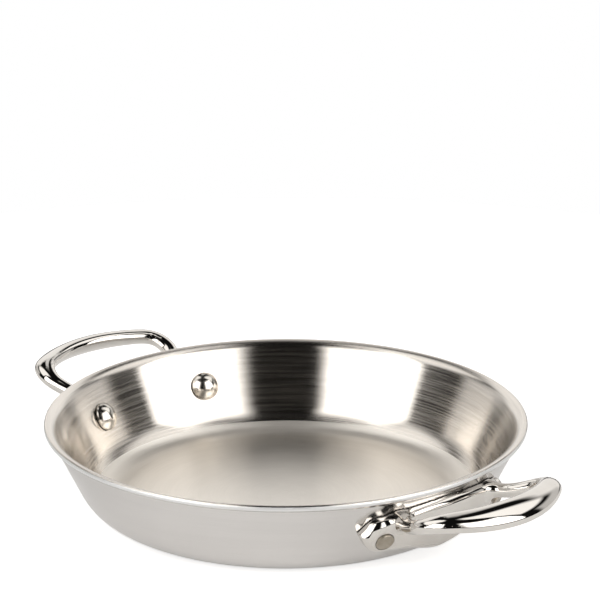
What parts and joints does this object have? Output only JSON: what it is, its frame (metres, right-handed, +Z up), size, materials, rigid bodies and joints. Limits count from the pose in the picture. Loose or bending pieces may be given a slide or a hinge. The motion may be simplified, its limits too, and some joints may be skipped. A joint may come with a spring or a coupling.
{
  "type": "gratin pan",
  "caption": "Low round open pan of clad steel sheet with a flared lip, leaning wall and a riveted cast loop handle on each side, for cooking, baking and serving.",
  "frame": {"origin": "centre of the base's underside, on the pan's axis", "axes": "+Z up along the pan's axis, +X through the middle of one handle, -X through the other"},
  "size_m": [0.2856, 0.206, 0.0403],
  "materials": {
    "outer_steel": "stainless steel polished to a soft mirror",
    "core_aluminium": "plain rolled aluminium, seen only as a line in the lip's edge",
    "inner_steel": "stainless steel brushed around the axis",
    "cast_steel": "cast stainless steel polished to a mirror",
    "rivet_steel": "stainless steel, polished domed head and satin flat tail"
  },
  "bodies": {
    "root": {"outer_steel_ply": "outer_steel", "aluminium_core": "core_aluminium", "inner_steel_ply": "inner_steel", "handle_right": "cast_steel", "handle_left": "cast_steel", "rivet_right_front": "rivet_steel", "rivet_right_back": "rivet_steel", "rivet_left_front": "rivet_steel", "rivet_left_back": "rivet_steel"}
  },
  "joints": []
}
